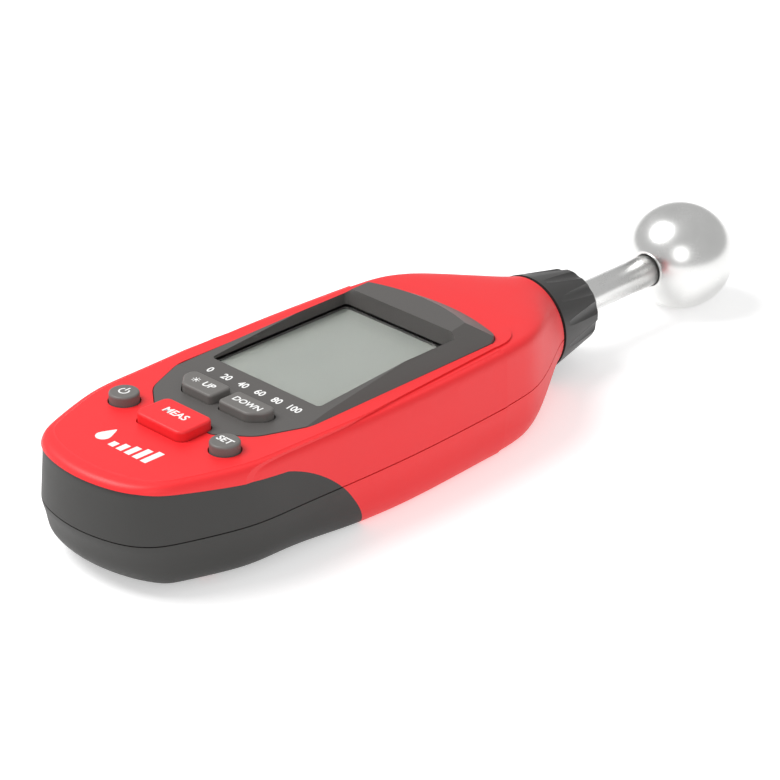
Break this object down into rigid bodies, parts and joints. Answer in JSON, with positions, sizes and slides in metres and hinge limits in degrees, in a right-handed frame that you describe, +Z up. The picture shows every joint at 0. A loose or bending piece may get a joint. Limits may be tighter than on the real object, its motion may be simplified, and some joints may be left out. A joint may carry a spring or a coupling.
{
  "type": "moisture meter",
  "caption": "Hand-held pinless moisture meter: rounded casing with a hooded display and push buttons, and a metal ball probe on a short rod.",
  "frame": {"origin": "on the plane of the flat underside, under the middle of the overall length and width", "axes": "+X towards the ball probe, +Y to the left of a user who looks along the probe, +Z up out of the display side"},
  "size_m": [0.235, 0.0618, 0.0358],
  "materials": {
    "casing_red": "satin moulded",
    "grip_dark": "satin overmould",
    "bezel_dark": "satin moulded",
    "key_grey": "satin moulded",
    "key_red": "satin moulded",
    "cover_dark": "satin moulded",
    "window_clear": "clear polished",
    "lcd_grey": "grey-green display",
    "frame_grey": "moulded",
    "backlight_white": "diffuser",
    "elastomer_grey": "striped elastomer",
    "board_green": "solder mask",
    "switch_black": "moulded",
    "chip_black": "moulded epoxy",
    "can_metal": "pressed can",
    "trimmer_blue": "moulded",
    "coil_copper": "enamelled winding",
    "screw_steel": "zinc plated",
    "probe_metal": "polished",
    "rod_metal": "fine turned",
    "collar_dark": "satin moulded",
    "seal_black": "moulded",
    "bush_white": "machined",
    "nut_brass": "turned",
    "battery_wrap": "plain wrapped can",
    "snap_black": "moulded"
  },
  "bodies": {
    "casing": {"upper_shell": "casing_red", "lower_shell": "casing_red", "upper_grip": "grip_dark", "lower_grip": "grip_dark", "display_bezel": "bezel_dark", "casing_screws": "screw_steel", "display_window": "window_clear", "display_glass": "lcd_grey", "backlight_panel": "backlight_white", "contact_strip": "elastomer_grey", "display_frame": "frame_grey", "main_board": "board_green", "key_switches": "switch_black", "board_screws": "screw_steel", "main_chip": "chip_black", "small_chips": "chip_black", "capacitors": "can_metal", "clock_crystal": "can_metal", "beeper": "switch_black", "calibration_trimmer": "trimmer_blue", "measuring_coil": "coil_copper", "battery": "battery_wrap", "battery_snap": "snap_black", "probe_ball": "probe_metal", "probe_rod": "rod_metal", "probe_collar": "collar_dark", "collar_seal": "seal_black", "probe_bush": "bush_white", "probe_nut": "nut_brass", "probe_washer": "screw_steel"},
    "power_button": {"power_button": "key_grey"},
    "set_button": {"set_button": "key_grey"},
    "up_button": {"up_button": "key_grey"},
    "down_button": {"down_button": "key_grey"},
    "measure_button": {"measure_button": "key_red"},
    "cover": {"battery_cover": "cover_dark"}
  },
  "joints": [
    {"name": "power_press", "type": "slide", "parent": "casing", "child": "power_button", "axis": [0, 0, -1], "range_m": [0, 0.0008], "stiffness_N_per_m": 2000, "springref_m": -0.0004},
    {"name": "set_press", "type": "slide", "parent": "casing", "child": "set_button", "axis": [0, 0, -1], "range_m": [0, 0.0008], "stiffness_N_per_m": 2000, "springref_m": -0.0004},
    {"name": "up_press", "type": "slide", "parent": "casing", "child": "up_button", "axis": [0, 0, -1], "range_m": [0, 0.0008], "stiffness_N_per_m": 2000, "springref_m": -0.0004},
    {"name": "down_press", "type": "slide", "parent": "casing", "child": "down_button", "axis": [0, 0, -1], "range_m": [0, 0.0008], "stiffness_N_per_m": 2000, "springref_m": -0.0004},
    {"name": "measure_press", "type": "slide", "parent": "casing", "child": "measure_button", "axis": [0, 0, -1], "range_m": [0, 0.0008], "stiffness_N_per_m": 2000, "springref_m": -0.0004},
    {"name": "cover_hinge", "type": "hinge", "parent": "casing", "child": "cover", "pos_m": [-0.09565, 0, 0.00105], "axis": [0, 1, 0], "range_deg": [0, 75]}
  ]
}
